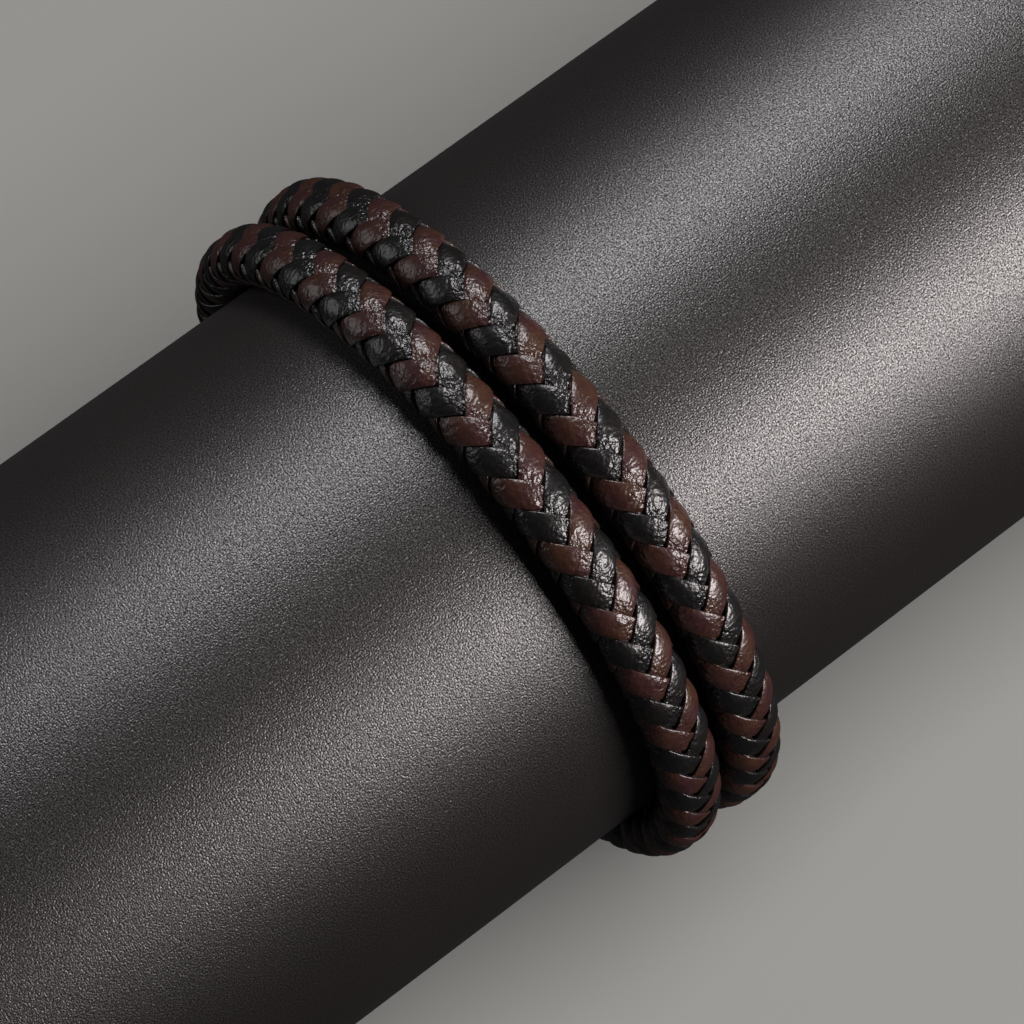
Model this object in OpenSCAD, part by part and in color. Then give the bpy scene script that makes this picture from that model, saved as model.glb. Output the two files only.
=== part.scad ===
// Leather bracelet on a display roll.
// Two braided cords lie side by side round a plain roll, and one steel clasp joins their four
// ends on the underside. The roll lies along X, +Z is up, and the clasp's flat underside is at z = 0.

/* [Display roll] */
// Diameter of the roll
roll_d = 70; // [60:1:76]
// Length of the roll
roll_len = 180; // [120:5:240]
// Radius of the roll's rounded rims
rim_r = 2; // [0.5:0.5:4]

/* [Cords] */
// Width of each braided cord
cord_w = 7.1; // [6.6:0.1:7.5]
// Thickness of each cord, which is pressed a little flat against the roll
cord_h = 6.3; // [5.8:0.1:6.5]
// Distance between the centres of the two cords
cord_pitch = 8.4; // [8.2:0.1:10]
// Room between the roll and a cord
seat_gap = 0.3; // [0.3:0.05:0.5]
// Angle by which the bracelet is turned on the roll, seen from above
turn = 2; // [0:0.5:3]

/* [Clasp] */
// Angle that the clasp takes up round the roll
clasp_angle = 29; // [26:1:40]
// Steel beyond the cords' sides
clasp_side = 0.5; // [0.4:0.1:1]
// Steel beyond the cords' outer surface
clasp_cover = 1.2; // [1:0.1:1.6]
// Depth of the flat underside, measured from the clasp's outer curve
flat_depth = 0.8; // [0.5:0.1:1]
// Radius of the clasp's long edges
edge_r = 1.6; // [1:0.1:2]
// Diameter of each cord's bound end, inside its socket
end_d = 5; // [4.6:0.1:5.2]
// Depth of each socket
socket_depth = 7; // [5:0.5:7.5]
// Room round a bound end in its socket
socket_gap = 0.1; // [0.05:0.05:0.15]

/* [Hidden] */
$fn = 96;

// Radii from the roll's own axis
roll_r = roll_d / 2;
ring_r = roll_r + seat_gap + cord_h / 2;
clasp_in = roll_r + seat_gap;
clasp_out = clasp_in + cord_h + clasp_cover;

// The flat underside is the lowest point, so it sets the height of the roll's axis
flat_r = clasp_out - flat_depth;
clasp_w = cord_pitch + cord_w + 2 * clasp_side;

// Angles run from +Y over the top, and 270 is straight down
down = 270;
clasp_start = down - clasp_angle / 2;
clasp_end = down + clasp_angle / 2;
function arc_angle(distance) = distance / ring_r * 180 / PI;
socket_angle = arc_angle(socket_depth);
end_angle = arc_angle(socket_depth - 2 * socket_gap);
face_gap = arc_angle(socket_gap);

// Puts a shape drawn about the origin onto the roll's axis, turned as the bracelet is
module on_roll() {
    translate([0, 0, flat_r]) rotate([0, 0, turn]) children();
}

// Sweeps a flat profile round the X axis; its x is the radius and its y lies along X
module round_x(start, sweep) {
    rotate([90, 0, 90]) rotate([0, 0, start]) rotate_extrude(angle = sweep) children();
}

// A length of cord in the plane x = side, between two angles, whose cross-section is the child
module cord_arc(side, start, sweep) {
    round_x(start, sweep) translate([ring_r, side]) children();
}

// The cross-section of a braided cord, flat towards the roll and round at both sides
module cord_profile() {
    flat_w = cord_w - cord_h;
    translate([-cord_h / 2, -flat_w / 2]) square([cord_h, flat_w]);
    for (edge = [-flat_w / 2, flat_w / 2])
        translate([0, edge]) circle(d = cord_h);
}

// One cord: the braided round from clasp to clasp, and a thinner bound end at each side
module cord(side) {
    body_sweep = 360 - clasp_angle - 2 * face_gap;
    on_roll() {
        cord_arc(side, clasp_end + face_gap, body_sweep) cord_profile();
        cord_arc(side, clasp_end - end_angle, end_angle + 2 * face_gap) circle(d = end_d);
        cord_arc(side, clasp_start - 2 * face_gap, end_angle + 2 * face_gap) circle(d = end_d);
    }
}

module cord_left() {
    color("#3b1c17") cord(-cord_pitch / 2);
}

module cord_right() {
    color("#241512") cord(cord_pitch / 2);
}

// The clasp's cross-section, a rectangle with round corners
module clasp_profile() {
    depth = clasp_out - clasp_in;
    translate([clasp_in, edge_r - clasp_w / 2]) square([depth, clasp_w - 2 * edge_r]);
    translate([clasp_in + edge_r, -clasp_w / 2]) square([depth - 2 * edge_r, clasp_w]);
    for (radius = [clasp_in + edge_r, clasp_out - edge_r], side = [-1, 1])
        translate([radius, side * (clasp_w / 2 - edge_r)]) circle(r = edge_r);
}

// A curved block with four blind sockets, cut flat underneath so that it stands still
module clasp() {
    socket_d = end_d + 2 * socket_gap;
    overrun = 1;
    color("silver") on_roll() difference() {
        round_x(clasp_start, clasp_angle) clasp_profile();
        for (side = [-cord_pitch / 2, cord_pitch / 2]) {
            cord_arc(side, clasp_start - overrun, socket_angle + overrun) circle(d = socket_d);
            cord_arc(side, clasp_end - socket_angle, socket_angle + overrun) circle(d = socket_d);
        }
        translate([-clasp_w, -clasp_out, -2 * clasp_out])
            cube([2 * clasp_w, 2 * clasp_out, 2 * clasp_out - flat_r]);
    }
}

// The roll: a plain cylinder with rounded rims
module display_roll() {
    color("#1b1a1b") translate([-roll_len / 2, 0, flat_r]) rotate([0, 90, 0]) rotate_extrude() {
        square([roll_r - rim_r, roll_len]);
        translate([0, rim_r]) square([roll_r, roll_len - 2 * rim_r]);
        for (height = [rim_r, roll_len - rim_r])
            translate([roll_r - rim_r, height]) circle(r = rim_r);
    }
}

cord_left();
cord_right();
clasp();
display_roll();
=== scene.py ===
# %% [markdown]
# # A braided leather bracelet on its display roll
# Two cords of brown and black leather lie side by side round a roll that is covered in
# leatherette. Each cord is a braid of eight flat laces, and the braid is what the eye goes to, so
# most of this lesson is about how one lace travels over and under the others.
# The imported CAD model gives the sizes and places. It holds each cord as a plain oval bar, and
# here every bar is replaced by eight real laces and the core that they are braided round.

# %% Load the frame
import math

import bmesh
import bpy
from mathutils import Matrix, Vector, noise


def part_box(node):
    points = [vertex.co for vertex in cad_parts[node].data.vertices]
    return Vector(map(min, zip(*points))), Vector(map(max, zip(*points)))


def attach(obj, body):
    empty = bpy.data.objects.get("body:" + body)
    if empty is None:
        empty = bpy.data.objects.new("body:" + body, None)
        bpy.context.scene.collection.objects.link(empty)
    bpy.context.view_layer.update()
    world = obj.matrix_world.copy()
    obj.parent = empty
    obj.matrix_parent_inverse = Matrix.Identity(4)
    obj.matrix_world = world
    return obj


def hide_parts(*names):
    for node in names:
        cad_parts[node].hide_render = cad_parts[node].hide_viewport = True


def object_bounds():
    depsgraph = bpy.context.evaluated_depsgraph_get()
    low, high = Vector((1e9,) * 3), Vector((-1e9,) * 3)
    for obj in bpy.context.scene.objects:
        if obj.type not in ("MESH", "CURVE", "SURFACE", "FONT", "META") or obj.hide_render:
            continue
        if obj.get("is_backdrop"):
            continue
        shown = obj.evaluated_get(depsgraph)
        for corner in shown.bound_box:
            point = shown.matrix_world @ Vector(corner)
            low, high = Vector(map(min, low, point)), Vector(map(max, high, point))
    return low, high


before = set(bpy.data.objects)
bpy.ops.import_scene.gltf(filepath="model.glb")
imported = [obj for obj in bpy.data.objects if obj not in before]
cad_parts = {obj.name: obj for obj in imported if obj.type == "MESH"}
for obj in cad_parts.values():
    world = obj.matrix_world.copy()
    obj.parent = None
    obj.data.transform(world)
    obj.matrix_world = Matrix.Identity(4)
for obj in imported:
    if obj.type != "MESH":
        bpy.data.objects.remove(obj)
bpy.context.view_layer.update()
scene = bpy.context.scene
mm = 0.001

# %% [markdown]
# ## Sizes read from the frame
# The roll lies along X, and its box gives its radius, its length and the height of its axis.
# The two cords are rings round that axis, turned a little on the roll as a hand leaves them, so
# the line between the centres of their boxes gives both their spacing and that turn.

# %% Read the roll and the two rings
roll_low, roll_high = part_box("display_roll")
roll_centre = (roll_low + roll_high) / 2
roll_radius = (roll_high.z - roll_low.z) / 2
roll_half = (roll_high.x - roll_low.x) / 2

cord_half_width = 3.55 * mm
cord_half_depth = 3.15 * mm
ring_centres = {}
for name in ("cord_left", "cord_right"):
    low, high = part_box(name)
    ring_centres[name] = Vector(((low.x + high.x) / 2, (low.y + high.y) / 2, roll_centre.z))
ring_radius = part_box("cord_left")[1].z - roll_centre.z - cord_half_depth
across_pair = ring_centres["cord_right"] - ring_centres["cord_left"]
pair_turn = math.atan2(across_pair.y, across_pair.x)
print("ring radius, mm:", round(ring_radius / mm, 2), "turn:", round(math.degrees(pair_turn), 2))

# %% [markdown]
# ## The camera
# The photo is a close view with a long lens, from above and to the left of the bracelet. A long
# lens keeps the roll's two edges nearly parallel. Its place and direction come from fitting the
# corners of the braid, the outlines of the cords and the edges of the roll.

# %% Make the camera
view_azimuth = math.radians(-38.667)
view_elevation = math.radians(66.463)
camera_from_roll = Vector((-131.89, -169.96, 496.20)) * mm
look = Vector((
    -math.sin(view_azimuth) * math.cos(view_elevation),
    math.cos(view_azimuth) * math.cos(view_elevation),
    -math.sin(view_elevation),
))
lens = bpy.data.cameras.new("camera")
lens.lens = 175.8
lens.clip_start = 0.01
lens.clip_end = 20.0
camera = bpy.data.objects.new("camera", lens)
camera.location = roll_centre + camera_from_roll
camera.rotation_euler = look.to_track_quat("-Z", "Y").to_euler()
scene.collection.objects.link(camera)
scene.camera = camera
print("camera at, mm:", [round(v / mm) for v in camera.location])

# %% [markdown]
# ## From a bmesh to a piece
# Every new shape below is drawn as a bmesh, Blender's mesh in the making. One helper turns it to
# an object, whose place is in its mesh, and gives it its materials.

# %% A helper for new pieces


def add_piece(name, bm, *materials):
    """Turns a finished bmesh into an object of the scene, with its materials."""
    mesh = bpy.data.meshes.new(name)
    bm.to_mesh(mesh)
    bm.free()
    for material in materials:
        mesh.materials.append(material)
    piece = bpy.data.objects.new(name, mesh)
    scene.collection.objects.link(piece)
    return piece


# %% [markdown]
# ## Two small helpers for materials
# Colours are written as the hex values that a colour picker shows, and one function turns them to
# the linear values that the renderer needs. Another adds a node, sets its values and joins its
# inputs, so that each material below reads as a short list.

# %% Material helpers


def paint(hex_colour):
    """Turns an sRGB hex colour into linear red, green, blue and alpha."""
    steps = [int(hex_colour[i:i + 2], 16) / 255 for i in (1, 3, 5)]
    return (*[c / 12.92 if c <= 0.04045 else ((c + 0.055) / 1.055) ** 2.4 for c in steps], 1.0)


def add_node(tree, kind, settings=None, inputs=None):
    """Adds a node. An input takes a number or colour, or the output socket that it is joined to."""
    node = tree.nodes.new(kind)
    for key, value in (settings or {}).items():
        setattr(node, key, value)
    for key, value in (inputs or {}).items():
        if isinstance(value, bpy.types.NodeSocket):
            tree.links.new(value, node.inputs[key])
        else:
            node.inputs[key].default_value = value
    return node


def new_material(name):
    """A new material, its node tree and its main shader."""
    material = bpy.data.materials.new(name)
    material.use_nodes = True
    tree = material.node_tree
    return material, tree, tree.nodes["Principled BSDF"]


# %% [markdown]
# ## The floor
# The floor is a plain pale board with matt paint. A trace of grain in its roughness, from a noise
# on its Object coordinates, keeps it from looking like a hole. One large square is enough, because
# nothing of its edge or thickness shows.

# %% Make the floor
floor_half = 3.0
floor_paint, tree, shader = new_material("painted_board")
shader.inputs["Base Color"].default_value = paint("#bdbbb7")
place = add_node(tree, "ShaderNodeTexCoord")
grain = add_node(tree, "ShaderNodeTexNoise", None, {
    "Vector": place.outputs["Object"], "Scale": 60.0})
rough = add_node(tree, "ShaderNodeMapRange", None, {
    "Value": grain.outputs["Fac"], "To Min": 0.62, "To Max": 0.74})
tree.links.new(rough.outputs["Result"], shader.inputs["Roughness"])
bm = bmesh.new()
bmesh.ops.create_grid(bm, x_segments=1, y_segments=1, size=floor_half)
floor = add_piece("floor", bm, floor_paint)
floor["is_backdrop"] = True
print("floor, m:", 2 * floor_half)

# %% [markdown]
# ## The light
# Three softboxes light the bracelet and the roll: one behind the top, one low at the near side,
# and a weak one far off to the left that fills the shadows there. A soft light lays a soft band
# along a cylinder, and the first two lie askew to the roll, so that their bands fade along it. A
# fourth softbox lights the floor alone, and light linking keeps the others off it, so that the
# floor stays even. A pale floor would also mirror in the black cover as grey haze, so glossy rays
# pass it by, as black cards would do in a studio.

# %% Hang the softboxes


def softbox(name, left_end, right_end, width, power, colour=(1.0, 1.0, 1.0)):
    """A rectangular light that faces the roll. Its ends are in metres from the roll's centre."""
    lamp = bpy.data.lights.new(name, "AREA")
    lamp.shape = "RECTANGLE"
    left, right = Vector(left_end), Vector(right_end)
    lamp.size, lamp.size_y = (right - left).length, width
    lamp.energy = power
    lamp.color = colour
    box = bpy.data.objects.new(name, lamp)
    side = (right - left).normalized()
    middle = (left + right) / 2
    away = (middle - side * middle.dot(side)).normalized()
    turn = Matrix((side, away.cross(side), away)).transposed()
    box.matrix_world = Matrix.Translation(roll_centre + middle) @ turn.to_4x4()
    scene.collection.objects.link(box)
    return box


back_box = softbox(
    "softbox_back", (0.108, 0.261, 0.855), (0.448, 0.475, 0.619),
    width=0.24, power=6.0, colour=(1.0, 0.97, 0.98))
near_box = softbox(
    "softbox_near", (0.079, -0.380, 0.257), (0.325, -0.282, 0.185),
    width=0.15, power=3.0, colour=(1.0, 0.93, 0.92))
side_box = softbox(
    "softbox_side", (-0.772, 0.454, 0.091), (-0.361, 0.785, 0.253), width=0.40, power=1.0)
floor_box = softbox(
    "softbox_floor", (-0.62, -0.46, 1.39), (0.86, -0.43, 1.28), width=1.4, power=17.0)
studio_boxes = (back_box, near_box, side_box, floor_box)
print("softboxes:", [box.name for box in studio_boxes])

# %% Keep each light to what it is for
for box in studio_boxes:
    receivers = bpy.data.collections.new(f"{box.name}_receivers")
    receivers.objects.link(floor)
    link = "INCLUDE" if box is floor_box else "EXCLUDE"
    receivers.collection_objects[0].light_linking.link_state = link
    box.light_linking.receiver_collection = receivers
floor.visible_glossy = False

world = bpy.data.worlds.new("studio")
world.use_nodes = True
backdrop = world.node_tree.nodes["Background"]
backdrop.inputs["Color"].default_value = (1.0, 1.0, 1.0, 1.0)
backdrop.inputs["Strength"].default_value = 0.02
scene.world = world
scene.view_settings.view_transform = "Standard"
print("lit by", floor_box.name, "alone:", floor.name)

# %% [markdown]
# ## Leatherette
# The roll is covered in polyurethane leatherette: a satin black film embossed with a pebble grain
# a little over a fifth of a millimetre across, which breaks a highlight into a fine even sparkle.
# The pebbles are Voronoi cells drawn as domes, and a noise of nearly the same size makes them
# uneven, as the press leaves them. Bump alone can't shade the pits between them, so the same noise
# also darkens the gloss there, through the specular tint. The pattern is drawn on the cover's own
# UV map, in millimetres, so that it runs round the roll as on a real sheet.

# %% Leatherette for the roll
pebble_mm = 0.23
press_mm = 0.19
press_share = 0.8
emboss_depth = 0.03 * mm
leatherette, tree, shader = new_material("black_leatherette")
cover_map = add_node(tree, "ShaderNodeUVMap")
pebbles = add_node(tree, "ShaderNodeTexVoronoi", {"voronoi_dimensions": "2D"}, {
    "Vector": cover_map.outputs["UV"], "Scale": 1 / pebble_mm, "Randomness": 0.8})
dome = add_node(tree, "ShaderNodeMath", {"operation": "POWER"}, {
    0: pebbles.outputs["Distance"], 1: 2.0})
press = add_node(tree, "ShaderNodeTexNoise", {"noise_dimensions": "2D"}, {
    "Vector": cover_map.outputs["UV"], "Scale": 1 / press_mm, "Detail": 1.0})
uneven = add_node(tree, "ShaderNodeMath", {"operation": "MULTIPLY_ADD"}, {
    0: press.outputs["Fac"], 1: press_share, 2: dome.outputs["Value"]})
bump = add_node(tree, "ShaderNodeBump", {"invert": True}, {
    "Height": uneven.outputs["Value"], "Strength": 1.0, "Distance": emboss_depth})
tree.links.new(bump.outputs["Normal"], shader.inputs["Normal"])
pits = add_node(tree, "ShaderNodeMapRange", None, {
    "Value": press.outputs["Fac"], "From Min": 0.3, "From Max": 0.7, "To Min": 0.1, "To Max": 1.0})
tree.links.new(pits.outputs["Result"], shader.inputs["Specular Tint"])

# %% Colour and gloss of the leatherette
cloud_size = 14 * mm
place = add_node(tree, "ShaderNodeTexCoord")
cloud = add_node(tree, "ShaderNodeTexNoise", None, {
    "Vector": place.outputs["Object"], "Scale": 1 / cloud_size, "Detail": 2.0})
tone = add_node(tree, "ShaderNodeMix", {"data_type": "RGBA"}, {
    "Factor": cloud.outputs["Fac"], "A": paint("#131010"), "B": paint("#191615")})
tree.links.new(tone.outputs["Result"], shader.inputs["Base Color"])
shader.inputs["Specular IOR Level"].default_value = 0.95
shader.inputs["Roughness"].default_value = 0.39
shader.inputs["IOR"].default_value = 1.55
print("leatherette with pebbles of, mm:", pebble_mm)

# %% [markdown]
# ## Lace leather
# The laces are cowhide, dyed through and finished with a thin glossy top coat. Bending breaks that
# coat into fine creases, which sparkle where a lace dives under its neighbour. The pattern follows
# the lace itself, so it is drawn on the lace's own UV map, which is in millimetres: U runs along
# the lace and V across it, and a noise's scale is its number of waves per millimetre. An attribute
# called fold says where the lace bends most. The dye took unevenly, so a second, slower noise
# carries the brown from maroon to tan along each lace.

# %% Leather for the laces
crease_depth = 0.15 * mm
depth_on_float, depth_at_fold = 0.45, 1.4


def lace_leather(name, dark, maroon, tan, sheen):
    """Coated cowhide: mottled dye that drifts in hue, a blistered coat, and creases at the folds."""
    material, tree, shader = new_material(name)
    place = add_node(tree, "ShaderNodeUVMap")
    fold = add_node(tree, "ShaderNodeAttribute", {"attribute_name": "fold"})
    mottle = add_node(tree, "ShaderNodeTexNoise", None, {
        "Vector": place.outputs["UV"], "Scale": 0.9, "Detail": 4.0, "Roughness": 0.6})
    drift = add_node(tree, "ShaderNodeTexNoise", None, {
        "Vector": place.outputs["UV"], "Scale": 0.35, "Detail": 1.0})
    spread = add_node(tree, "ShaderNodeMapRange", None, {
        "Value": drift.outputs["Fac"], "From Min": 0.35, "From Max": 0.65})
    light = add_node(tree, "ShaderNodeMix", {"data_type": "RGBA"}, {
        "Factor": spread.outputs["Result"], "A": paint(maroon), "B": paint(tan)})
    dye = add_node(tree, "ShaderNodeMix", {"data_type": "RGBA"}, {
        "Factor": mottle.outputs["Fac"], "A": paint(dark), "B": light.outputs["Result"]})
    tree.links.new(dye.outputs["Result"], shader.inputs["Base Color"])
    blisters = add_node(tree, "ShaderNodeTexNoise", None, {
        "Vector": place.outputs["UV"], "Scale": 2.4, "Detail": 1.0})
    crease = add_node(tree, "ShaderNodeTexNoise", None, {
        "Vector": place.outputs["UV"], "Scale": 1.6, "Detail": 0.5, "Distortion": 0.6})
    relief = add_node(tree, "ShaderNodeMath", {"operation": "ADD"}, {
        0: crease.outputs["Fac"], 1: blisters.outputs["Fac"]})
    depth = add_node(tree, "ShaderNodeMapRange", None, {
        "Value": fold.outputs["Fac"], "To Min": depth_on_float, "To Max": depth_at_fold})
    folded = add_node(tree, "ShaderNodeMath", {"operation": "MULTIPLY"}, {
        0: relief.outputs["Value"], 1: depth.outputs["Result"]})
    bump = add_node(tree, "ShaderNodeBump", None, {
        "Height": folded.outputs["Value"], "Strength": 1.0, "Distance": crease_depth})
    tree.links.new(bump.outputs["Normal"], shader.inputs["Normal"])
    rough = add_node(tree, "ShaderNodeMapRange", None, {
        "Value": mottle.outputs["Fac"], "To Min": sheen - 0.05, "To Max": sheen + 0.08})
    tree.links.new(rough.outputs["Result"], shader.inputs["Roughness"])
    shader.inputs["IOR"].default_value = 1.5
    shader.inputs["Specular IOR Level"].default_value = 0.62
    return material


brown_leather = lace_leather("brown_cowhide", "#22110e", "#3b2023", "#432b1c", sheen=0.31)
black_leather = lace_leather("black_cowhide", "#0a0909", "#121315", "#161210", sheen=0.31)
print("lace leathers:", brown_leather.name, black_leather.name)

# %% [markdown]
# The sides of a lace are the knife's cut. The coat stops there and the dyed fibres show, a little
# paler and with hardly any shine, so the cut edge gets a finish of its own.

# %% Cut edge of the laces
fibre_size = 0.12 * mm
fibre_depth = 0.04 * mm


def cut_edge(name, colour):
    """Bare fibres at the knife's cut."""
    material, tree, shader = new_material(name)
    place = add_node(tree, "ShaderNodeTexCoord")
    fibres = add_node(tree, "ShaderNodeTexNoise", None, {
        "Vector": place.outputs["Object"], "Scale": 1 / fibre_size, "Detail": 3.0})
    shade = add_node(tree, "ShaderNodeBrightContrast", None, {
        "Color": paint(colour), "Contrast": fibres.outputs["Fac"]})
    tree.links.new(shade.outputs["Color"], shader.inputs["Base Color"])
    bump = add_node(tree, "ShaderNodeBump", None, {
        "Height": fibres.outputs["Fac"], "Strength": 0.4, "Distance": fibre_depth})
    tree.links.new(bump.outputs["Normal"], shader.inputs["Normal"])
    shader.inputs["Roughness"].default_value = 0.62
    return material


brown_edge = cut_edge("brown_cut_edge", "#33211d")
black_edge = cut_edge("black_cut_edge", "#1d1c1b")
print("cut edges:", brown_edge.name, black_edge.name)

# %% [markdown]
# ## The display roll
# A light core wrapped in leatherette. The frame's own mesh is made of flat facets, which would
# show in the long highlights, so the roll is turned again as on a lathe: one profile, from the
# middle of one end over its rounded rim to the middle of the other, spun round the axis.

# %% Turn the roll
rim = 2.0 * mm
rim_steps = 6
turn_steps = 256
profile = [(-roll_half, 0.0)]
for side in (-1, 1):
    corner = side * (roll_half - rim)
    for step in range(rim_steps + 1):
        share = step / rim_steps if side < 0 else 1 - step / rim_steps
        angle = math.radians(90 * share)
        along = corner + side * rim * math.cos(angle)
        profile.append((along, roll_radius - rim + rim * math.sin(angle)))
profile.append((roll_half, 0.0))

bm = bmesh.new()
line = [bm.verts.new((along, 0.0, out)) for along, out in profile]
edges = [bm.edges.new(pair) for pair in zip(line, line[1:])]
bmesh.ops.spin(
    bm, geom=line + edges, cent=(0, 0, 0), axis=(1, 0, 0), angle=math.tau, steps=turn_steps,
    use_merge=True)
bmesh.ops.remove_doubles(bm, verts=bm.verts, dist=0.01 * mm)
bmesh.ops.recalc_face_normals(bm, faces=bm.faces)
print("roll faces:", len(bm.faces))

# %% [markdown]
# The sheet of leatherette is laid on as a real one is: flat on the two ends, and rolled round the
# barrel. So the map's two numbers are millimetres on the end, or millimetres along and round.

# %% Lay the cover's map on the roll
cover_layer = bm.loops.layers.uv.new("cover_mm")
for face in bm.faces:
    face.smooth = True
    middle = face.calc_center_median()
    face_angle = math.atan2(middle.z, middle.y)
    flat_end = abs(face.normal.x) > 0.9
    for loop in face.loops:
        co = loop.vert.co
        turned = (math.atan2(co.z, co.y) - face_angle + math.pi) % math.tau - math.pi
        around = (co.x, (face_angle + turned) * roll_radius)
        loop[cover_layer].uv = Vector((co.y, co.z) if flat_end else around) / mm
bmesh.ops.translate(bm, verts=bm.verts, vec=roll_centre)
roll_cover = add_piece("roll_cover", bm, leatherette)
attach(roll_cover, "root")
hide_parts("display_roll")
print("cover, mm:", round(2 * roll_half / mm), "by", round(math.tau * roll_radius / mm))

# %% [markdown]
# The light so far leaves the roll's ends and its far side black. Four weak softboxes stand low
# round those sides, so that the cover's grain shows there too. Light linking gives them to the
# roll alone, and they stand so low that the camera sees hardly anything of them.

# %% Light the sides that the camera doesn't see
only_roll = bpy.data.collections.new("fill_receivers")
only_roll.objects.link(roll_cover)
fill_boxes = (
    softbox("softbox_left_end", (-0.80, 0.50, 0.04), (-0.80, -0.50, 0.04), width=0.16, power=1.5),
    softbox("softbox_right_end", (0.80, -0.50, 0.04), (0.80, 0.50, 0.04), width=0.16, power=1.0),
    softbox("softbox_rear_left", (-0.70, 0.50, 0.30), (-0.30, 0.80, 0.40), width=0.28, power=2.0),
    softbox("softbox_rear_right", (0.70, 0.75, 0.20), (0.95, 0.45, 0.20), width=0.28, power=1.2),
)
for box in fill_boxes:
    box.light_linking.receiver_collection = only_roll
print("fill lights:", len(fill_boxes))

# %% [markdown]
# ## How the braid is laid out
# Eight laces go round each cord, four winding one way and four the other. Call a lace of the first
# kind a left leg and one of the second a right leg, after the two strokes of the V that they draw.
# Unroll the cord, and both kinds run diagonally and cross like the lines of a lattice. A left leg
# keeps one number, its row, and counts up along its length; a right leg does the same the other
# way. Row plus count gives the way along the cord, and their difference gives the way round it.
# Each lace goes over two and under two, which draws two columns of Vs along the cord, with
# upside-down ones between them. One column of Vs faces outward. There the cord was pulled tightest
# and its laces are drawn together, so the lattice is narrower in the middle of those Vs.

# %% The lattice of the braid
laces_each_way = 4
steps_in_turn = 2 * laces_each_way
v_pitch = 3.892 * mm
round_step = math.pi / laces_each_way
mid_radius = 2.85 * mm
cord_roll = math.radians(-3.7)
first_v = {"cord_left": math.radians(64.80), "cord_right": math.radians(62.39)}
drawn_in = math.radians(9.0)
draw_sharpness = 2.2


def nearest_v(steps_round):
    """Steps round the cord from the middle of the nearest column of outward Vs."""
    return (steps_round + steps_in_turn / 2) % steps_in_turn - steps_in_turn / 2


def lattice_angle(steps_round):
    """The angle round the cord. steps_round is 0 at the middle of the outward Vs."""
    near = nearest_v(steps_round)
    pull = math.tanh(draw_sharpness * near) - near / laces_each_way
    return round_step * steps_round - drawn_in * pull


def on_cord(cord, way_round, way_along, radius):
    """A point of the cord: the angle from outward towards +X, the angle round the roll, and the
    distance from the cord's own centre line, measured to its side. The cord is an oval."""
    out = ring_radius + radius * math.cos(way_round) * cord_half_depth / cord_half_width
    flat = Vector((radius * math.sin(way_round), out * math.cos(way_along), out * math.sin(way_along)))
    return Matrix.Rotation(pair_turn, 3, "Z") @ flat + ring_centres[cord]


print("laces cross every, degrees:", math.degrees(round_step))

# %% [markdown]
# ## How one lace rises and falls
# A lace is on top for two counts and below for two. Near the outward Vs the laces lie like roof
# tiles: each one covers the end of the one before it, so its upper edge stands proud. Near the
# upside-down Vs the tiles lie the other way round. So a lace does two things at once along its
# length. It rises and falls as a wave that is four counts long, and it twists a little from one
# edge to the other, by the same amount at each crossing, which keeps every pair of laces apart.
# It dives more steeply at the outward Vs, and a shallow groove runs down the middle of that
# column, because the laces are pulled tightest there.

# %% Height and twist of a lace
lace_half_width = 0.475
lace_thickness = 0.45 * mm
lace_rise = 0.46 * mm
wave_share = 0.8
least_steepness = 0.4
steeper_at_v = 0.3
pillow = 0.11 * mm
groove_depth = 0.25 * mm
groove_width = 0.6


def lace_height(count, across):
    """Height over the cord's middle radius. count is 0 where the lace dives, and across runs
    from -0.5 to 0.5 over the lace's width."""
    turn = math.pi * count / 2
    steepness = least_steepness + steeper_at_v * (1 + math.cos(turn))
    wave = -wave_share * math.tanh(steepness * math.sin(turn)) / math.tanh(steepness)
    twist = -math.cos(turn) * across
    crown = pillow * (1 - (across / lace_half_width) ** 4)
    groove = groove_depth * math.exp(-(nearest_v(count - across) / groove_width) ** 2)
    return lace_rise * (wave + twist) + crown - groove


def fold_amount(count):
    """1 where a lace bends down to dive or up to come back, and 0 at the middle of a float."""
    return (1 + math.cos(math.pi * count)) / 2


print("lace thickness, mm:", round(lace_thickness / mm, 2))

# %% [markdown]
# ## Where the cords meet the clasp
# The ends of both cords run on into the clasp's sockets, where each is nipped in and glued. So a
# cord keeps its full size to just before the steel, and shrinks there to its bound end.

# %% The ends of the cords
clasp_angle = math.radians(29)
cord_start = -math.pi / 2 + clasp_angle / 2
cord_end = 1.5 * math.pi - clasp_angle / 2
socket_run = 1.5 * mm
nip_run = 0.9 * mm
bound_end_mm = 5.0
cord_width_mm = 7.1
nip = bound_end_mm / cord_width_mm


def nipped(way_along):
    """How far a cord is drawn in, from 1 along its body to the bound end's size at the clasp."""
    to_clasp = min(way_along - cord_start, cord_end - way_along) * ring_radius
    share = min(1.0, max(0.0, to_clasp / nip_run))
    return nip + (1 - nip) * share * share * (3 - 2 * share)


print("braid shows over, degrees:", round(math.degrees(cord_end - cord_start), 1))

# %% [markdown]
# ## Making the laces
# Each lace starts as a flat grid, as a lace is cut from flat leather, and every vertex is carried
# to its place in the braid. A curve with a flat profile could follow the same path, but a grid also
# carries the leather's map and lets the lace twist as it dives. Solidify then gives the leather
# its thickness, and its rim takes the cut edge's material. Bevel takes the sharpness off.

# %% Lay one flat lace into the braid
steps_per_count = 8
steps_across = 6
map_shift = 40
wobble_height = 0.03 * mm


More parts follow.
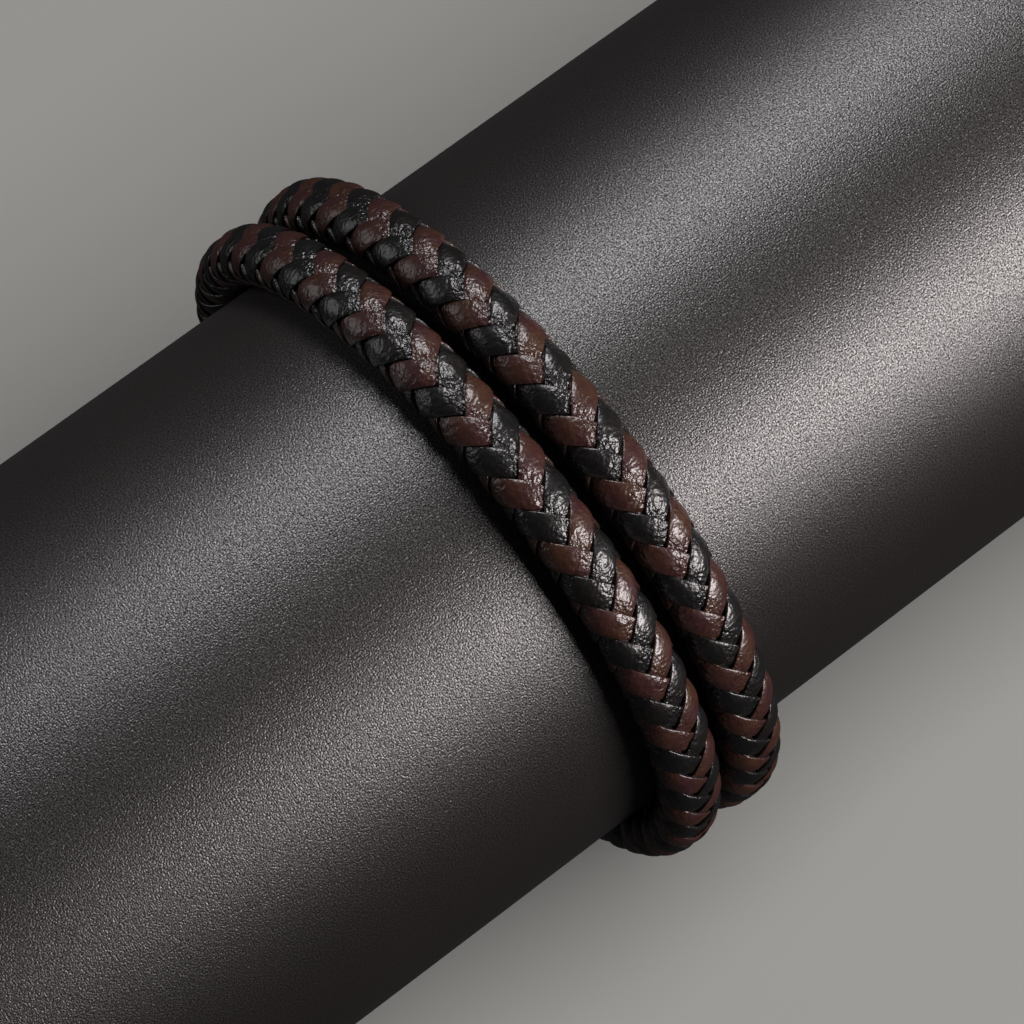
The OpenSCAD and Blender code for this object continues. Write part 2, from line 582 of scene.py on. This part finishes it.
def lay_lace(cord, leg, row):
    """leg is 0 for a left leg and 0.5 for a right leg. Rows are a whole cycle of four apart."""
    start = (cord_start - first_v[cord]) * ring_radius - socket_run
    end = (cord_end - first_v[cord]) * ring_radius + socket_run
    row_line = row + leg
    first_count = 2 * start / v_pitch - row_line
    last_count = 2 * end / v_pitch - row_line
    steps = round((last_count - first_count) * steps_per_count)
    count_length = math.hypot(mid_radius * round_step, v_pitch / 2) / mm
    bm = bmesh.new()
    uv_layer = bm.loops.layers.uv.new("lace_mm")
    bmesh.ops.create_grid(bm, x_segments=steps, y_segments=steps_across, size=1.0, calc_uvs=True)
    fold_layer = bm.verts.layers.float.new("fold")
    for face in bm.faces:
        face.smooth = True
        for loop in face.loops:
            along, across = loop[uv_layer].uv
            loop[uv_layer].uv = (
                (along * (last_count - first_count) + map_shift * row_line) * count_length,
                across * 2 * lace_half_width * count_length)
    for vert in bm.verts:
        share, across = (vert.co.x + 1) / 2, vert.co.y * lace_half_width
        line = first_count + share * (last_count - first_count)
        row_here = row_line + across
        from_dive = line - row_line
        way_along = first_v[cord] + (row_here + line) * v_pitch / 2 / ring_radius
        way_round = cord_roll + lattice_angle((line - row_here) * (1 if leg == 0 else -1))
        wobble = wobble_height * noise.noise(Vector((line * 0.7, row_line * 9.1, across)))
        radius = mid_radius + lace_height(from_dive, across) + wobble
        vert.co = on_cord(cord, way_round, way_along, radius * nipped(way_along))
        vert[fold_layer] = fold_amount(from_dive)
    return bm


# %% Give a lace its thickness
corner_width = 0.13 * mm
corner_angle = math.radians(50)


def build_lace(cord, leg, row, materials, name):
    """One lace of a cord, as a piece of its own with the leather's face and cut edge."""
    lace = add_piece(name, lay_lace(cord, leg, row), *materials)
    leather = lace.modifiers.new("leather_thickness", "SOLIDIFY")
    leather.thickness = lace_thickness
    leather.offset = 0.0
    leather.material_offset_rim = 1
    corners = lace.modifiers.new("worn_corners", "BEVEL")
    corners.width = corner_width
    corners.segments = 3
    corners.material = 0
    corners.limit_method = "ANGLE"
    corners.angle_limit = corner_angle
    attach(lace, "root")
    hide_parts(cord)
    return lace


# %% Build all sixteen laces
laces = []
for cord in ("cord_left", "cord_right"):
    for leg, side in ((0, "left_leg"), (0.5, "right_leg")):
        for row in range(laces_each_way):
            brown = (row + (1 if leg else 0)) % 2 == 0
            pair = (brown_leather, brown_edge) if brown else (black_leather, black_edge)
            lace = build_lace(cord, leg, row, pair, f"{cord}_{side}_{row + 1}")
            laces.append(lace)
print("laces:", len(laces), "faces in the first:", len(laces[0].data.polygons))

# %% [markdown]
# ## The core
# A braid of flat laces is worked round a core of twisted cotton. It hardly shows, only as dark
# cotton in the deepest corners. A rope of modelled threads would be lost there, so one smooth tube
# of the right thickness is enough, rolled up from a grid and closed at both ends.

# %% Cotton for the cores
thread_size = 0.4 * mm
core_cotton, tree, shader = new_material("core_cotton")
place = add_node(tree, "ShaderNodeTexCoord")
twist = add_node(tree, "ShaderNodeTexNoise", None, {
    "Vector": place.outputs["Object"], "Scale": 1 / thread_size, "Detail": 2.0})
thread = add_node(tree, "ShaderNodeMix", {"data_type": "RGBA"}, {
    "Factor": twist.outputs["Fac"], "A": paint("#0b0a0a"), "B": paint("#1a1817")})
tree.links.new(thread.outputs["Result"], shader.inputs["Base Color"])
shader.inputs["Roughness"].default_value = 0.9

# %% Build the cores
core_radius = 1.9 * mm
core_steps_along = 220
core_steps_round = 16
core_start = cord_start - socket_run / ring_radius
core_sweep = cord_end - cord_start + 2 * socket_run / ring_radius
for cord in ("cord_left", "cord_right"):
    bm = bmesh.new()
    bmesh.ops.create_grid(bm, x_segments=core_steps_along, y_segments=core_steps_round, size=1.0)
    for vert in bm.verts:
        way_along = core_start + (vert.co.x + 1) / 2 * core_sweep
        way_round = math.pi * vert.co.y
        vert.co = on_cord(cord, way_round, way_along, core_radius * nipped(way_along))
    bmesh.ops.remove_doubles(bm, verts=bm.verts, dist=0.001 * mm)
    bmesh.ops.holes_fill(bm, edges=bm.edges, sides=core_steps_round)
    bmesh.ops.recalc_face_normals(bm, faces=bm.faces)
    for face in bm.faces:
        face.smooth = len(face.verts) == 4
    core = add_piece(f"{cord}_core", bm, core_cotton)
    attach(core, "root")
    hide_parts(cord)
    print(core.name, "faces:", len(core.data.polygons))

# %% [markdown]
# ## The clasp
# One curved steel block, brushed along its length. Its shape in the frame is right, so it stays,
# and only gets a real finish. The brush leaves fine scratches, so one noise, stretched the way
# that the brush went, gives both the roughness and a very shallow bump.

# %% Finish the clasp
scratch_size = (0.08 * mm, 3 * mm, 0.4 * mm)
scratch_depth = 0.02 * mm
steel, tree, shader = new_material("brushed_steel")
place = add_node(tree, "ShaderNodeTexCoord")
along = add_node(tree, "ShaderNodeMapping", None, {
    "Vector": place.outputs["Object"], "Scale": tuple(1 / size for size in scratch_size)})
brush = add_node(tree, "ShaderNodeTexNoise", None, {
    "Vector": along.outputs["Vector"], "Scale": 1.0, "Detail": 3.0})
rough = add_node(tree, "ShaderNodeMapRange", None, {
    "Value": brush.outputs["Fac"], "To Min": 0.26, "To Max": 0.42})
tree.links.new(rough.outputs["Result"], shader.inputs["Roughness"])
bump = add_node(tree, "ShaderNodeBump", None, {
    "Height": brush.outputs["Fac"], "Strength": 0.2, "Distance": scratch_depth})
tree.links.new(bump.outputs["Normal"], shader.inputs["Normal"])
shader.inputs["Base Color"].default_value = paint("#c4c2be")
shader.inputs["Metallic"].default_value = 1.0
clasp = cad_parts["clasp"]
clasp.data.materials.clear()
clasp.data.materials.append(steel)
print("clasp finish:", steel.name)

# %% [markdown]
# ## Check the size and finish
# The dressed model has to stay in the frame's box.

# ## The size of the dressed model
# The box round everything that renders, with the floor left out, is printed in millimetres.

# %% Print the size of the visual box
low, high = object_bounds()
print("visual box, mm:", [round(v / mm, 2) for v in high - low])
